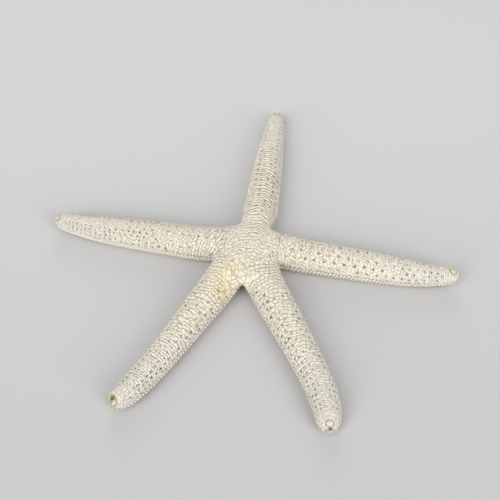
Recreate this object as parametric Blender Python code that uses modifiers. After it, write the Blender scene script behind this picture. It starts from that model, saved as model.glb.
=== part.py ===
"""Dried finger starfish: a small disc and five long arms lying flat, grown in one piece, as one closed solid.

Frame: metres, +Z up, the underside on z = 0, the five arms spread over the XY plane, the middle of the
bounding box over the origin. The arm called "back" points along +Y, the one called "right" along +X.
"""

import math
import random

import bmesh
import bpy
from mathutils import Vector

MM = 0.001

# Driving dimensions. Lengths are in millimetres and angles in degrees until the solid is finished.
DISC_MIDDLE = Vector((-0.5, -1.6))
DISC_TOP = 13.5  # height of the cage over the middle of the disc
DISC_FALL = 0.010  # how fast the disc's top falls off, per millimetre of squared distance
DISC_RINGS_ABOVE = (0.52,)  # cage rings inside the disc's upper side, as shares of its size
DISC_RINGS_BELOW = (0.64, 0.36)
AXIL_TOP = 11.4  # height of the disc where two arms part
AXILS = ((41.0, 8.8), (118.0, 8.6), (205.0, 14.9), (259.5, 16.9), (317.0, 12.1))  # where: direction, distance
UNDER_CAGE = -1.0  # the cage reaches a little lower than the flat underside

RINGS_PER_ARM = 14  # cage rings on an arm, with four rows of plates to each of them
HEIGHT_TO_WIDTH = 0.87  # an arm's height as a share of its width
CAGE_TO_SKIN = 0.9375  # what rounding off leaves of the square cage's width
END_RING_SIZE = 0.8  # the last cage ring is smaller, which makes the arm's end rounder
TURN_POWER = 8  # an arm's axis is straight, and turns only towards its end
LIFT_FROM = 0.65  # share of an arm's length from where on its end is lifted off the ground
WIDTH_AT = (0.0, 0.28, 0.45, 0.60, 0.75, 0.90, 1.0)  # shares of an arm's length where its width is given

PLATE_RISE = 0.28  # how far a skin plate stands out
PIT_DEPTH = 0.42  # how far a pore pit between the plates lies in
BEAD_RISE = 0.36  # how far a bead of the rows along an arm's flanks stands out
BEAD_GAP = 0.25  # how far the skin between two beads lies in
GROOVE_HALF_WIDTH = 1.5  # the feeding groove along the underside of a full-grown arm
GROOVE_DEPTH = 2.0
SPINE_STEP = 0.6  # the short spines along the groove, seen as teeth in its edges
FULL_WIDTH = 13.0  # the arm width for which the groove and its spines are given
MOUTH_RADIUS = 3.4  # the mouth in the middle of the underside
MOUTH_DEPTH = 3.6
SIEVE_AT = Vector((2.8, -5.5))  # the sieve plate on the disc
SIEVE_RADIUS = 1.5
SIEVE_RISE = 0.35
END_PLATE_FROM_END = 2.6  # the round plate on top of each arm's end
END_PLATE_HEIGHT = 0.70  # how high it sits, as a share of the arm's width there
END_PLATE_RADIUS = 1.4
END_PLATE_RISE = 0.4
END_PLATE_RIM_WIDTH = 1.1
END_PLATE_RIM_DEPTH = 0.3
UNEVENNESS = (0.8, 1.2)  # how much smaller or larger a lump may be than the rule gives
UNEVENNESS_SEED = 7

# Columns of plates round an arm, counted from the groove up to the middle of the back on either side.
FLAT_COLUMNS = 2
BEAD_COLUMNS = 4
BACK_COLUMN = 8


class Arm:
    """One arm: a straight axis that turns and lifts towards its end, with a width along it."""

    def __init__(self, length, start, heading, turn, lift, first_ring, widths):
        self.length = length
        self.lift_at_end = lift
        self.first_ring = first_ring
        self.widths = widths
        self.points = [Vector(start)]
        steps = 80
        self.step = length / steps
        for i in range(steps):
            angle = math.radians(heading + turn * ((i + 0.5) / steps) ** TURN_POWER)
            self.points.append(self.points[-1] + self.step * Vector((math.cos(angle), math.sin(angle))))

    def axis_at(self, s):
        """The point of the axis at distance s, and its direction there."""
        i = min(max(int(s / self.step), 0), len(self.points) - 2)
        direction = (self.points[i + 1] - self.points[i]).normalized()
        return self.points[i] + direction * (s - i * self.step), direction

    def width(self, s):
        """The width at distance s, on a smooth line through the widths of the table."""
        u = min(max(s / self.length, 0.0), 1.0)
        i = max(k for k in range(len(WIDTH_AT) - 1) if WIDTH_AT[k] <= u)
        t = (u - WIDTH_AT[i]) / (WIDTH_AT[i + 1] - WIDTH_AT[i])
        before, a, b, after = (self.widths[min(max(k, 0), len(self.widths) - 1)] for k in range(i - 1, i + 3))
        return ((2 * t**3 - 3 * t**2 + 1) * a + (t**3 - 2 * t**2 + t) * (b - before) / 2
                + (3 * t**2 - 2 * t**3) * b + (t**3 - t**2) * (after - a) / 2)

    def lift(self, s):
        """How high the underside is lifted off the ground at distance s."""
        return self.lift_at_end * max(0.0, (s / self.length - LIFT_FROM) / (1 - LIFT_FROM)) ** 2

    def distance(self, point):
        return min((p - point.xy).length for p in self.points)

    def locate(self, point):
        """A point's distance along the arm, its offset to the left of the axis, and the direction to the left."""
        i = min(range(len(self.points)), key=lambda k: (self.points[k] - point.xy).length_squared)
        direction = self.axis_at((i - 0.5) * self.step)[1]
        left = Vector((-direction.y, direction.x))
        offset = point.xy - self.points[i]
        return i * self.step + offset.dot(direction), offset.dot(left), left.to_3d()

    def end_plate(self):
        """The middle of the round plate on the upper side of the arm's end."""
        s = self.length - END_PLATE_FROM_END
        return Vector((*self.axis_at(s)[0], self.lift(s) + END_PLATE_HEIGHT * self.width(s)))

    def cage_ring(self, s, size):
        """The four corners of the cage's square ring round the arm at distance s."""
        middle, direction = self.axis_at(s)
        side = Vector((-direction.y, direction.x))
        half = size * self.width(s) / 2 / CAGE_TO_SKIN
        height = self.lift(s) + (HEIGHT_TO_WIDTH - 0.5) * self.width(s)
        ways = [(across, up) for across in (-half, half) for up in (-half, half)]
        return [Vector((*(middle + side * across), height + up)) for across, up in ways]


ARMS = {
    "right": Arm(length=80.0, start=(0.0, -0.4), heading=-11.1, turn=12.0, lift=3.2, first_ring=14.5,
                 widths=(14.6, 12.9, 12.5, 11.8, 10.4, 7.6, 5.8)),
    "back": Arm(length=79.2, start=(1.4, 0.0), heading=82.2, turn=0.0, lift=0.6, first_ring=13.5,
                widths=(15.4, 13.4, 12.4, 11.4, 9.9, 8.2, 5.6)),
    "left": Arm(length=80.6, start=(0.0, -2.2), heading=168.8, turn=-8.0, lift=2.6, first_ring=16.5,
                widths=(14.8, 13.4, 12.6, 11.9, 10.5, 7.9, 6.0)),
    "front left": Arm(length=80.6, start=(-0.4, 0.0), heading=-122.8, turn=-19.0, lift=1.4, first_ring=19.0,
                      widths=(15.0, 13.7, 12.2, 11.0, 10.0, 9.1, 7.4)),
    "front right": Arm(length=81.0, start=(-2.9, 0.0), heading=-65.5, turn=-38.0, lift=0.9, first_ring=18.0,
                       widths=(15.0, 13.8, 12.7, 11.6, 10.8, 9.9, 7.8)),
}


def nearest_arm(point):
    return min(ARMS.values(), key=lambda arm: arm.distance(point))


def put_corners(face, corners):
    """Moves a quad's four vertices to the four places that lie the same way from the middle as they do."""
    old_middle = face.calc_center_median()
    new_middle = sum(corners, Vector()) / 4
    spare = list(corners)
    for vert in face.verts:
        way = (vert.co - old_middle).normalized()
        best = max(spare, key=lambda place: way.dot((place - new_middle).normalized()))
        spare.remove(best)
        vert.co = best


def draw_out_arm(bm, face, arm):
    """Draws a side of the disc's cage out along an arm, ring by ring."""
    spacing = (arm.length - arm.first_ring) / (RINGS_PER_ARM - 1)
    for i in range(RINGS_PER_ARM):
        last = i == RINGS_PER_ARM - 1
        face = bmesh.ops.extrude_discrete_faces(bm, faces=[face])["faces"][0]
        put_corners(face, arm.cage_ring(arm.first_ring + i * spacing, END_RING_SIZE if last else 1.0))


def draw_in_rings(bm, face, shares, top):
    """Draws an end of the disc's cage inward in rings, domed above and flat below."""
    outline = [vert.co.xy for vert in face.verts]
    for share in shares:
        face = bmesh.ops.extrude_discrete_faces(bm, faces=[face])["faces"][0]
        for vert, corner in zip(face.verts, outline):
            offset = (corner - DISC_MIDDLE) * share
            height = DISC_TOP - DISC_FALL * offset.length_squared if top else UNDER_CAGE
            vert.co = Vector((*(DISC_MIDDLE + offset), height))


def make_cage():
    """A five-sided prism for the disc, with an arm drawn out of each side and rings drawn into both ends."""
    bm = bmesh.new()
    bmesh.ops.create_cone(bm, cap_ends=True, cap_tris=False, segments=5, radius1=15, radius2=15, depth=10)
    sides = [f for f in bm.faces if len(f.verts) == 4]
    above, below = sorted((f for f in bm.faces if len(f.verts) == 5), key=lambda f: -f.calc_center_median().z)
    for face, height in ((above, AXIL_TOP), (below, UNDER_CAGE)):
        in_turn = sorted(face.verts, key=lambda v: math.atan2(v.co.y, v.co.x) % math.tau)
        for vert, (direction, distance) in zip(in_turn, AXILS):
            angle = math.radians(direction)
            vert.co = Vector((distance * math.cos(angle), distance * math.sin(angle), height))
    for arm in ARMS.values():
        root = arm.axis_at(arm.first_ring)[0]
        face = min(sides, key=lambda f: (f.calc_center_median().xy - root).length)
        sides.remove(face)
        draw_out_arm(bm, face, arm)
    draw_in_rings(bm, above, DISC_RINGS_ABOVE, top=True)
    draw_in_rings(bm, below, DISC_RINGS_BELOW, top=False)
    bmesh.ops.recalc_face_normals(bm, faces=bm.faces)
    return bm


def rounded_off(bm):
    """The cage after two levels of the Subdivision Surface modifier."""
    mesh = bpy.data.meshes.new("cage")
    bm.to_mesh(mesh)
    bm.free()
    cage = bpy.data.objects.new("cage", mesh)
    bpy.context.scene.collection.objects.link(cage)
    modifier = cage.modifiers.new("round off", "SUBSURF")
    modifier.levels = 2
    modifier.render_levels = 2
    evaluated = cage.evaluated_get(bpy.context.evaluated_depsgraph_get())
    smooth = bmesh.new()
    smooth.from_mesh(evaluated.to_mesh())
    smooth.normal_update()
    bpy.data.objects.remove(cage)
    bpy.data.meshes.remove(mesh)
    return smooth


def straight_on(vert, edge):
    """The edge that leads straight on through a vertex where four edges meet."""
    beside = set(edge.link_faces)
    return next((other for other in vert.link_edges if not beside & set(other.link_faces)), None)


def walk(start, edge):
    """The vertices met going straight on along an edge, until a corner of the net or the start is met."""
    met = [start]
    vert = start
    while edge is not None:
        vert = edge.other_vert(vert)
        if vert is start:
            break
        met.append(vert)
        edge = straight_on(vert, edge) if len(vert.link_edges) == 4 else None
    return met


def net_of_columns(bm):
    """The column of each vertex that lies on an arm, 0 along its groove, and the vertices of the grooves."""
    poles = [v for v in bm.verts if len(v.link_edges) == 5 and v.normal.z < -0.9]
    mouth = min(poles, key=lambda v: (v.co.xy - DISC_MIDDLE).length)
    rows_in_disc = 2 + 4 * len(DISC_RINGS_BELOW)
    column_of = {}
    grooves = {mouth}
    for first_edge in mouth.link_edges:
        line = walk(mouth, first_edge)
        end = max(range(len(line)), key=lambda i: line[i].co.xy.length)
        groove = line[:end + 1]
        grooves.update(groove)
        for i in range(rows_in_disc + 1, end - 2):
            here = groove[i]
            neighbours = (groove[i - 1], groove[i + 1])
            for edge in here.link_edges:
                if edge.other_vert(here) not in neighbours:
                    for column, vert in enumerate(walk(here, edge)[:BACK_COLUMN + 1]):
                        column_of[vert] = column
    return column_of, grooves


def plates_and_pits(bm):
    """The vertices in two kinds, so that each edge joins the two: True for a pit, False for a plate."""
    start = next(iter(bm.verts))
    pit = {start: False}
    queue = [start]
    for vert in queue:
        for edge in vert.link_edges:
            other = edge.other_vert(vert)
            if other not in pit:
                pit[other] = not pit[vert]
                queue.append(other)
    return pit


def place_below(vert, arm, column, is_pit, in_groove):
    """Where a vertex of the underside goes: on the flat, in the mouth or a groove, or on its toothed edge."""
    s, across, left = arm.locate(vert.co)
    lift = arm.lift(s)
    small = arm.width(s) / FULL_WIDTH
    place = Vector((vert.co.x, vert.co.y, lift))
    from_mouth = (place.xy - DISC_MIDDLE).length / MOUTH_RADIUS
    groove_depth = GROOVE_DEPTH * min(1.0, max(0.0, (arm.length - s - 3.0) / 16.0))
    if from_mouth < 1.0:
        place.z = MOUTH_DEPTH * (1 - 0.6 * from_mouth**2)
    elif in_groove:
        place.z = lift + groove_depth
    elif column == 1 and groove_depth > 0.0:
        place += left * (math.copysign(GROOVE_HALF_WIDTH * small, across) - across)
        if is_pit:
            place.z = lift + SPINE_STEP * small
    return place


def place_above(vert, arm, column, is_pit, chance):
    """Where a vertex of the skin goes: out on a plate, a bead, the sieve or an end plate, or down in a pit."""
    s = arm.locate(vert.co)[0]
    size = min(1.0, 0.25 + arm.width(s) / 12.0) * chance.uniform(*UNEVENNESS)
    from_end_plate = (vert.co - arm.end_plate()).length
    if (vert.co.xy - SIEVE_AT).length < SIEVE_RADIUS and vert.normal.z > 0.5:
        rise = SIEVE_RISE
    elif from_end_plate < END_PLATE_RADIUS:
        rise = END_PLATE_RISE
    elif from_end_plate < END_PLATE_RADIUS + END_PLATE_RIM_WIDTH:
        rise = -END_PLATE_RIM_DEPTH
    elif column is not None and column <= BEAD_COLUMNS:
        rise = size * (-BEAD_GAP if is_pit else BEAD_RISE)
    else:
        rise = size * (-PIT_DEPTH if is_pit else PLATE_RISE)
    place = vert.co + vert.normal * rise
    place.z = max(place.z, arm.lift(s))
    return place


def shape_skin(bm):
    """Flattens the underside, lets in the grooves and the mouth, raises plates and beads, and sinks the pits."""
    column_of, grooves = net_of_columns(bm)
    pit = plates_and_pits(bm)
    chance = random.Random(UNEVENNESS_SEED)
    placed = {}
    for vert in bm.verts:
        column = column_of.get(vert)
        arm = nearest_arm(vert.co)
        on_disc_below = vert.co.z < 1.2 and vert.normal.z < -0.2
        if on_disc_below if column is None else column <= FLAT_COLUMNS:
            placed[vert] = place_below(vert, arm, column, pit[vert], vert in grooves)
        else:
            placed[vert] = place_above(vert, arm, column, pit[vert], chance)
    for vert, place in placed.items():
        vert.co = place

    # Each quad is cut from plate to plate, so that pits stay apart, and between beads from gap to gap.
    for face in list(bm.faces):
        verts = list(face.verts)
        between_beads = all(FLAT_COLUMNS < column_of.get(v, 0) <= BEAD_COLUMNS for v in verts)
        i = next(k for k in range(4) if pit[verts[k]] == between_beads)
        bmesh.utils.face_split(face, verts[i], verts[(i + 2) % 4])


def skin_material():
    material = bpy.data.materials.new("dried starfish skin")
    material.use_nodes = True
    shader = material.node_tree.nodes["Principled BSDF"]
    shader.inputs["Base Color"].default_value = (0.70, 0.65, 0.54, 1.0)
    shader.inputs["Roughness"].default_value = 0.85
    shader.inputs["Metallic"].default_value = 0.0
    return material


def main():
    for old in list(bpy.data.objects):
        bpy.data.objects.remove(old)
    collection = bpy.data.collections.new("starfish")
    bpy.context.scene.collection.children.link(collection)

    bm = rounded_off(make_cage())
    shape_skin(bm)

    # The middle of the box goes over the origin, and millimetres become metres.
    middle = [(min(v.co[i] for v in bm.verts) + max(v.co[i] for v in bm.verts)) / 2 for i in (0, 1)]
    bmesh.ops.translate(bm, verts=bm.verts, vec=(-middle[0], -middle[1], 0.0))
    bmesh.ops.scale(bm, verts=bm.verts, vec=(MM, MM, MM))
    bmesh.ops.recalc_face_normals(bm, faces=bm.faces)
    mesh = bpy.data.meshes.new("starfish")
    bm.to_mesh(mesh)
    bm.free()
    mesh.materials.append(skin_material())
    collection.objects.link(bpy.data.objects.new("starfish", mesh))
    print("middle of the box, mm", round(middle[0], 2), round(middle[1], 2))
    print("triangles", len(mesh.polygons))


main()
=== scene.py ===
# %% [markdown]
# # A dried finger starfish
# The real thing is one animal, dried and bleached: a small disc with five long arms, covered by a skin of
# limy plates. Nothing on it is a separate part, so it is modelled as one closed mesh. It could be sculpted,
# or joined from five tubes, but tubes leave seams where the arms meet. Here a coarse cage of a few hundred
# faces is drawn out, rounded off with Subdivision Surface, and the skin's relief is then raised on the fine
# mesh.

# %% Start from the imported solid
import math

import bmesh
import bpy
import numpy as np
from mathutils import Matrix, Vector, kdtree, noise


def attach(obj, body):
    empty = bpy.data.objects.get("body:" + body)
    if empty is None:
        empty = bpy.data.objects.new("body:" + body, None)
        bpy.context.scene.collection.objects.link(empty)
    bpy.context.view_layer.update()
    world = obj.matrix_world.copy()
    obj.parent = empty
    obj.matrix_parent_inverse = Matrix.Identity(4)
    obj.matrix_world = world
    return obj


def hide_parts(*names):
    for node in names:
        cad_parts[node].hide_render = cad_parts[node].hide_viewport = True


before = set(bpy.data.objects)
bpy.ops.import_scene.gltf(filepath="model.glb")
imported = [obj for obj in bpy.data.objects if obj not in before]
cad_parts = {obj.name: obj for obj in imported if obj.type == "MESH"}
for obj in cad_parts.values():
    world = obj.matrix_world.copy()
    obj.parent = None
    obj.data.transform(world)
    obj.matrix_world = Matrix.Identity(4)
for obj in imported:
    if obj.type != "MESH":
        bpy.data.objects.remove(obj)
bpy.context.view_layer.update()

# %% [markdown]
# ## The five arms as lines
# Each arm has a middle line on the table that runs straight and turns only towards its end, a width that
# falls towards the end, and an end that is lifted a little off the table. A few numbers for each arm are
# enough, because everything else on the arm is placed by its distance along this line. A curve object
# could hold the line too, but plain numbers are easier to measure against. All lengths are in millimetres
# until the mesh is finished.

# %% What is known of each arm
MM = 0.001
TO_ORIGIN = Vector((0.05, -1.60, 0.0))  # moves the finished body so that the solid's box has its middle at 0
DISC_MIDDLE = Vector((-0.5, -1.6))
WIDTH_AT = (0.0, 0.28, 0.45, 0.60, 0.75, 0.90, 1.0)  # shares of an arm's length where its width is given
AXIS_STEPS = 80
TURN_POWER = 8  # how late along the arm its line turns
LIFT_FROM = 0.65  # share of the length from where on the arm's end is lifted
HEIGHT_OF_MIDDLE = 0.37  # height of an arm's middle over its underside, as a share of its width

# heading is in degrees, turn is how far the line has turned at its end, lift is how high the end is lifted,
# first_ring is where the cage's first ring stands, and reach is how far the last one passes the length
ARMS = {
    "right": dict(length=80.0, start=(0.0, -0.4), heading=-11.1, turn=12.0, lift=3.2, first_ring=14.5,
                  reach=-0.55, widths=(14.6, 12.9, 12.5, 11.8, 10.4, 7.6, 5.8)),
    "back": dict(length=79.2, start=(1.4, 0.0), heading=82.2, turn=0.0, lift=0.6, first_ring=13.5,
                 reach=1.1, widths=(15.4, 13.4, 12.4, 11.4, 9.9, 8.2, 5.6)),
    "left": dict(length=80.6, start=(0.0, -2.2), heading=168.8, turn=-8.0, lift=2.6, first_ring=16.5,
                 reach=-0.25, widths=(14.8, 13.4, 12.8, 12.0, 10.5, 7.9, 6.0)),
    "front left": dict(length=80.6, start=(-0.4, 0.0), heading=-122.8, turn=-19.0, lift=1.4, first_ring=19.0,
                       reach=0.5, widths=(15.0, 13.7, 12.2, 11.0, 10.0, 9.1, 7.4)),
    "front right": dict(length=81.0, start=(-2.9, 0.0), heading=-65.5, turn=-38.0, lift=0.9, first_ring=18.0,
                        reach=0.15, widths=(15.0, 13.8, 12.7, 11.6, 10.8, 9.9, 7.8)),
}


def middle_line(arm):
    """The points of an arm's middle line: its start, and one after each of AXIS_STEPS equal steps."""
    share = (np.arange(AXIS_STEPS) + 0.5) / AXIS_STEPS
    angle = np.radians(arm["heading"] + arm["turn"] * share**TURN_POWER)
    steps = arm["length"] / AXIS_STEPS * np.stack([np.cos(angle), np.sin(angle)], 1)
    return np.array(arm["start"]) + np.concatenate([np.zeros((1, 2)), np.cumsum(steps, 0)])


for name, arm in ARMS.items():
    arm["line"] = middle_line(arm)
    arm["way"] = np.diff(arm["line"], axis=0) * AXIS_STEPS / arm["length"]
    print(name, "arm ends at", arm["line"][-1].round(1))

# %% Places on an arm
ONE_OVER_GAP = np.array([1 / (b - a) for a, b in zip(WIDTH_AT, WIDTH_AT[1:])])  # between those shares


def width_at(arm, s):
    """The arm's width at distances s, on a smooth line through its table."""
    share = np.clip(np.asarray(s, float) / arm["length"], 0.0, 1.0)
    i = np.clip(np.searchsorted(WIDTH_AT, share, side="right") - 1, 0, len(WIDTH_AT) - 2)
    t = (share - np.array(WIDTH_AT)[i]) * ONE_OVER_GAP[i]
    w = np.array(arm["widths"])
    before, a, b, after = w[np.maximum(i - 1, 0)], w[i], w[i + 1], w[np.minimum(i + 2, len(w) - 1)]
    return ((2 * t**3 - 3 * t**2 + 1) * a + (t**3 - 2 * t**2 + t) * (b - before) / 2
            + (3 * t**2 - 2 * t**3) * b + (t**3 - t**2) * (after - a) / 2)


def lift_at(arm, s):
    """How high the underside is lifted off the table at distances s."""
    share = np.asarray(s, float) / arm["length"]
    return arm["lift"] * np.maximum(0.0, (share - LIFT_FROM) / (1 - LIFT_FROM)) ** 2


def line_at(arm, s):
    """The points of the middle line at distances s, and the way it goes there."""
    step = arm["length"] / AXIS_STEPS
    i = np.clip((np.asarray(s, float) / step).astype(int), 0, AXIS_STEPS - 1)
    way = arm["way"][i]
    return arm["line"][i] + way * (np.asarray(s, float) - i * step)[..., None], way


def skin_at(arm, s, round_angle):
    """Points of the smooth skin at distances s and angles round the arm, 0 on top and plus to the left."""
    s, round_angle = np.broadcast_arrays(np.asarray(s, float), np.asarray(round_angle, float))
    middle, way = line_at(arm, s)
    radius = width_at(arm, s) / 2
    side = np.stack([-way[..., 1], way[..., 0]], -1)
    flat = middle + side * (radius * np.sin(round_angle))[..., None]
    height = lift_at(arm, s) + 2 * HEIGHT_OF_MIDDLE * radius + radius * np.cos(round_angle)
    return np.concatenate([flat, np.maximum(height, lift_at(arm, s))[..., None]], -1)


print("right arm's width at 40 mm:", round(float(width_at(ARMS["right"], 40.0)), 2))

# %% [markdown]
# ## The cage of the disc
# The disc starts as a five-sided cylinder. Its corners are moved to where the real arms part, which are the
# axils, and both ends are drawn in by Extrude and Scale, so that the rounding has something to hold on to.
# The five upper edges get two cuts each. That makes each side a six-sided face, and a six-sided face drawn
# out is a tube with six sides, which rounds off to a near-perfect circle. A flattened ball could be the
# disc too, but none of its faces lie where an arm has to start.

# %% Helpers for working in edit mode
def select_only(kind, wanted):
    """Selects the vertices, edges or faces for which wanted(element) is true, and nothing else."""
    mesh = bmesh.from_edit_mesh(bpy.context.object.data)
    for element in (*mesh.faces, *mesh.edges, *mesh.verts):
        element.select_set(False)
    for element in getattr(mesh, kind):
        if wanted(element):
            element.select_set(True)
    bmesh.update_edit_mesh(bpy.context.object.data)


def move_corner(vert_index, place):
    """Moves one vertex to a place with the Move operator."""
    mesh = bmesh.from_edit_mesh(bpy.context.object.data)
    mesh.verts.ensure_lookup_table()
    step = Vector(place) - mesh.verts[vert_index].co
    select_only("verts", lambda vert: vert.index == vert_index)
    bpy.ops.transform.translate(value=step)


# %% A five-sided cylinder with its corners at the axils
AXILS = ((41.0, 9.2, 8.8), (118.0, 9.1, 8.8), (205.0, 14.9, 13.6), (259.5, 23.4, 11.5), (317.0, 15.5, 12.8))
# each with its direction, its distance at the top and its distance at the bottom, where the skin turns under
AXIL_TOP = 11.4
UNDER_CAGE = -1.0
START_RADIUS = 13.0
SAME_HEIGHT = 0.1  # heights closer than this are the same one

bpy.ops.object.select_all(action="DESELECT")
bpy.ops.mesh.primitive_cylinder_add(vertices=5, radius=START_RADIUS, depth=AXIL_TOP - UNDER_CAGE,
                                    end_fill_type="NGON", location=(0.0, 0.0, (AXIL_TOP + UNDER_CAGE) / 2))
starfish = bpy.context.object
starfish.name = "starfish_body"
bpy.ops.object.transform_apply(location=True, rotation=True, scale=True)
bpy.ops.object.mode_set(mode="EDIT")
bpy.ops.mesh.select_mode(type="VERT")

corners = [(vert.index, vert.co.copy()) for vert in bmesh.from_edit_mesh(starfish.data).verts]
for level in (AXIL_TOP, UNDER_CAGE):
    ring = [corner for corner in corners if abs(corner[1].z - level) < SAME_HEIGHT]
    ring.sort(key=lambda corner: math.atan2(corner[1].y, corner[1].x) % math.tau)
    for (index, _), (direction, top, bottom) in zip(ring, AXILS):
        angle, distance = math.radians(direction), top if level == AXIL_TOP else bottom
        move_corner(index, (distance * math.cos(angle), distance * math.sin(angle), level))
print("disc's cage has", len(corners), "corners")

# %% Both ends drawn in
TOP_SHARE, TOP_LEVEL = 0.52, 13.0  # the upper face becomes this share of its size, and rises to this height
UNDER_SHARES = (0.64, 0.5625)  # the lower face is drawn in twice and stays at its height


def draw_in(level, share, new_level):
    """Extrudes the end face at a height, scales it towards the disc's middle and moves it up or down."""
    select_only("faces", lambda face: len(face.verts) == 5
                and abs(face.calc_center_median().z - level) < SAME_HEIGHT)
    bpy.ops.mesh.extrude_region_move(TRANSFORM_OT_translate={"value": (0.0, 0.0, new_level - level)})
    bpy.ops.transform.resize(value=(share, share, 1.0), center_override=(*DISC_MIDDLE, new_level))


draw_in(AXIL_TOP, TOP_SHARE, TOP_LEVEL)
for share in UNDER_SHARES:
    draw_in(UNDER_CAGE, share, UNDER_CAGE)
print("disc's cage has", len(bmesh.from_edit_mesh(starfish.data).faces), "faces")

# %% Two cuts in each upper edge
SHOULDER = 1.9  # how far the new corners are pulled up, so that an arm's root is round at once

select_only("edges", lambda edge: all(abs(vert.co.z - AXIL_TOP) < SAME_HEIGHT for vert in edge.verts))
bpy.ops.mesh.subdivide(number_cuts=2, ngon=True)
select_only("verts", lambda vert: len(vert.link_edges) == 2)
bpy.ops.transform.translate(value=(0.0, 0.0, SHOULDER))
print("new corners:", sum(vert.select for vert in bmesh.from_edit_mesh(starfish.data).verts))

# %% [markdown]
# ## Arms drawn out ring by ring
# Each side of the disc becomes an arm by the move a modeller makes most: Extrude, Move, Rotate, Scale, and
# again. The first ring's corners are moved one by one onto a regular six-sided ring across the arm. From
# there on each new ring is the last one moved along the middle line, turned with it, and scaled to the
# width that the arm has there. A Skin modifier on five edges would be quicker, but it gives no say in where
# the arms part and how high they rise.

# %% Where a ring stands and how large it is
RINGS = 11  # rings along an arm
CROWDING = 0.25  # how much closer together the rings stand towards the arm's end, where it tapers most
CAGE_TO_SKIN = 0.832  # what rounding off leaves of a six-sided ring's size
END_RING_SIZE = 0.8
RING_ANGLES = [math.radians(angle) for angle in (-150, -90, -30, 30, 90, 150)]  # of its corners, 0 on top


def ring_middle(arm, s):
    """The middle of the cage's ring at distance s."""
    return Vector((*line_at(arm, s)[0], lift_at(arm, s) + HEIGHT_OF_MIDDLE * width_at(arm, s)))


def ring_size(arm, s):
    """How far the ring's corners lie from its middle."""
    return float(width_at(arm, s)) / 2 / CAGE_TO_SKIN


def ring_places(arm):
    """The distances along the arm where its rings stand."""
    even = np.linspace(0.0, 1.0, RINGS)
    shares = (1 + CROWDING) * even - CROWDING * even**2
    places = arm["first_ring"] + (arm["length"] - arm["first_ring"]) * shares
    places[-1] += arm["reach"]
    return places


print("right arm's rings stand at", ring_places(ARMS["right"]).round(1))

# %% Draw out the arms
SIDE_MIDDLE = 5.0  # height where the middle of a side of the disc lies


def draw_out_root(arm, face_index):
    """Extrudes a side of the disc and moves its six corners onto a regular ring across the arm."""
    select_only("faces", lambda face: face.index == face_index)
    bpy.ops.mesh.extrude_region_move()
    middle, size = ring_middle(arm, arm["first_ring"]), ring_size(arm, arm["first_ring"])
    way = line_at(arm, arm["first_ring"])[1]
    left, up = Vector((-way[1], way[0], 0.0)), Vector((0, 0, 1))
    face = next(face for face in bmesh.from_edit_mesh(starfish.data).faces if face.select)
    centre = face.calc_center_median()
    found = sorted((math.atan2((vert.co - centre).dot(left), vert.co.z - centre.z), vert.index)
                   for vert in face.verts)
    for (_, index), angle in zip(found, RING_ANGLES):
        move_corner(index, middle + size * (math.sin(angle) * left + math.cos(angle) * up))
    ring = {index for _, index in found}
    select_only("faces", lambda face: {vert.index for vert in face.verts} == ring)


def draw_out_ring(arm, s, next_s, share=1.0):
    """Extrudes the selected ring from distance s to next_s, turning and scaling it as the arm goes."""
    middle, next_middle = ring_middle(arm, s), ring_middle(arm, next_s)
    way, next_way = line_at(arm, s)[1], line_at(arm, next_s)[1]
    turn = math.atan2(way[0] * next_way[1] - way[1] * next_way[0], way.dot(next_way))
    scale = share * ring_size(arm, next_s) / ring_size(arm, s)
    bpy.ops.mesh.extrude_region_move(TRANSFORM_OT_translate={"value": next_middle - middle})
    bpy.ops.transform.rotate(value=-turn, orient_axis="Z", center_override=next_middle)
    bpy.ops.transform.resize(value=(scale, scale, scale), center_override=next_middle)


for name, arm in ARMS.items():
    root = Vector((*line_at(arm, arm["first_ring"])[0], SIDE_MIDDLE))
    sides = [face for face in bmesh.from_edit_mesh(starfish.data).faces
             if len(face.verts) == 6 and abs(face.normal.z) < 0.5]
    draw_out_root(arm, min(sides, key=lambda face: (face.calc_center_median() - root).length).index)
    places = ring_places(arm)
    for s, next_s in zip(places, places[1:]):
        draw_out_ring(arm, s, next_s, END_RING_SIZE if next_s == places[-1] else 1.0)
    end = next(face for face in bmesh.from_edit_mesh(starfish.data).faces if face.select)
    miss = (end.calc_center_median() - ring_middle(arm, places[-1])).length
    print(name, "arm's last ring is off by", round(miss, 3), "mm and faces",
          [round(part, 2) for part in end.normal])

# %% Round the cage off
ROUNDING = 4  # levels, for faces of about 0.4 mm
EVEN_OUT = 24  # how often the points on top of the disc are smoothed, to space them evenly
DISC_REACH = 16.0  # how far from the disc's middle, and from which height up
DISC_FROM = 4.0

bpy.ops.mesh.select_all(action="SELECT")
bpy.ops.mesh.normals_make_consistent(inside=False)
bpy.ops.object.mode_set(mode="OBJECT")
rounding = starfish.modifiers.new("rounding", "SUBSURF")
rounding.levels = rounding.render_levels = ROUNDING
bpy.ops.object.modifier_apply(modifier=rounding.name)
bpy.ops.object.shade_smooth()
bpy.ops.object.mode_set(mode="EDIT")
select_only("verts", lambda vert: vert.co.z > DISC_FROM and math.dist(vert.co.xy, DISC_MIDDLE) < DISC_REACH)
bpy.ops.mesh.vertices_smooth(factor=0.5, repeat=EVEN_OUT)
bpy.ops.object.mode_set(mode="OBJECT")
print("fine mesh:", len(starfish.data.vertices), "points,", len(starfish.data.polygons), "faces")

# %% [markdown]
# ## Where each point of the skin lies
# Plates, pores and beads follow the arms, so every point of the mesh is given its place on its arm: the
# distance along it and the angle round it. The Displace modifier with a texture would be easier, but no
# texture knows where an arm's rows run, and sculpting some thousand plates by hand would take days. So the
# points are read into one array, moved there along the way the skin faces, and written back.

# %% Find every point's place on its arm
def read_points(values, kind):
    """All values of one kind, such as the points' places, as an array of rows of three."""
    flat = np.empty(len(values) * 3)
    values.foreach_get(kind, flat)
    return flat.reshape(-1, 3)


points = read_points(starfish.data.vertices, "co")
outward = read_points(starfish.data.vertex_normals, "vector")


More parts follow.
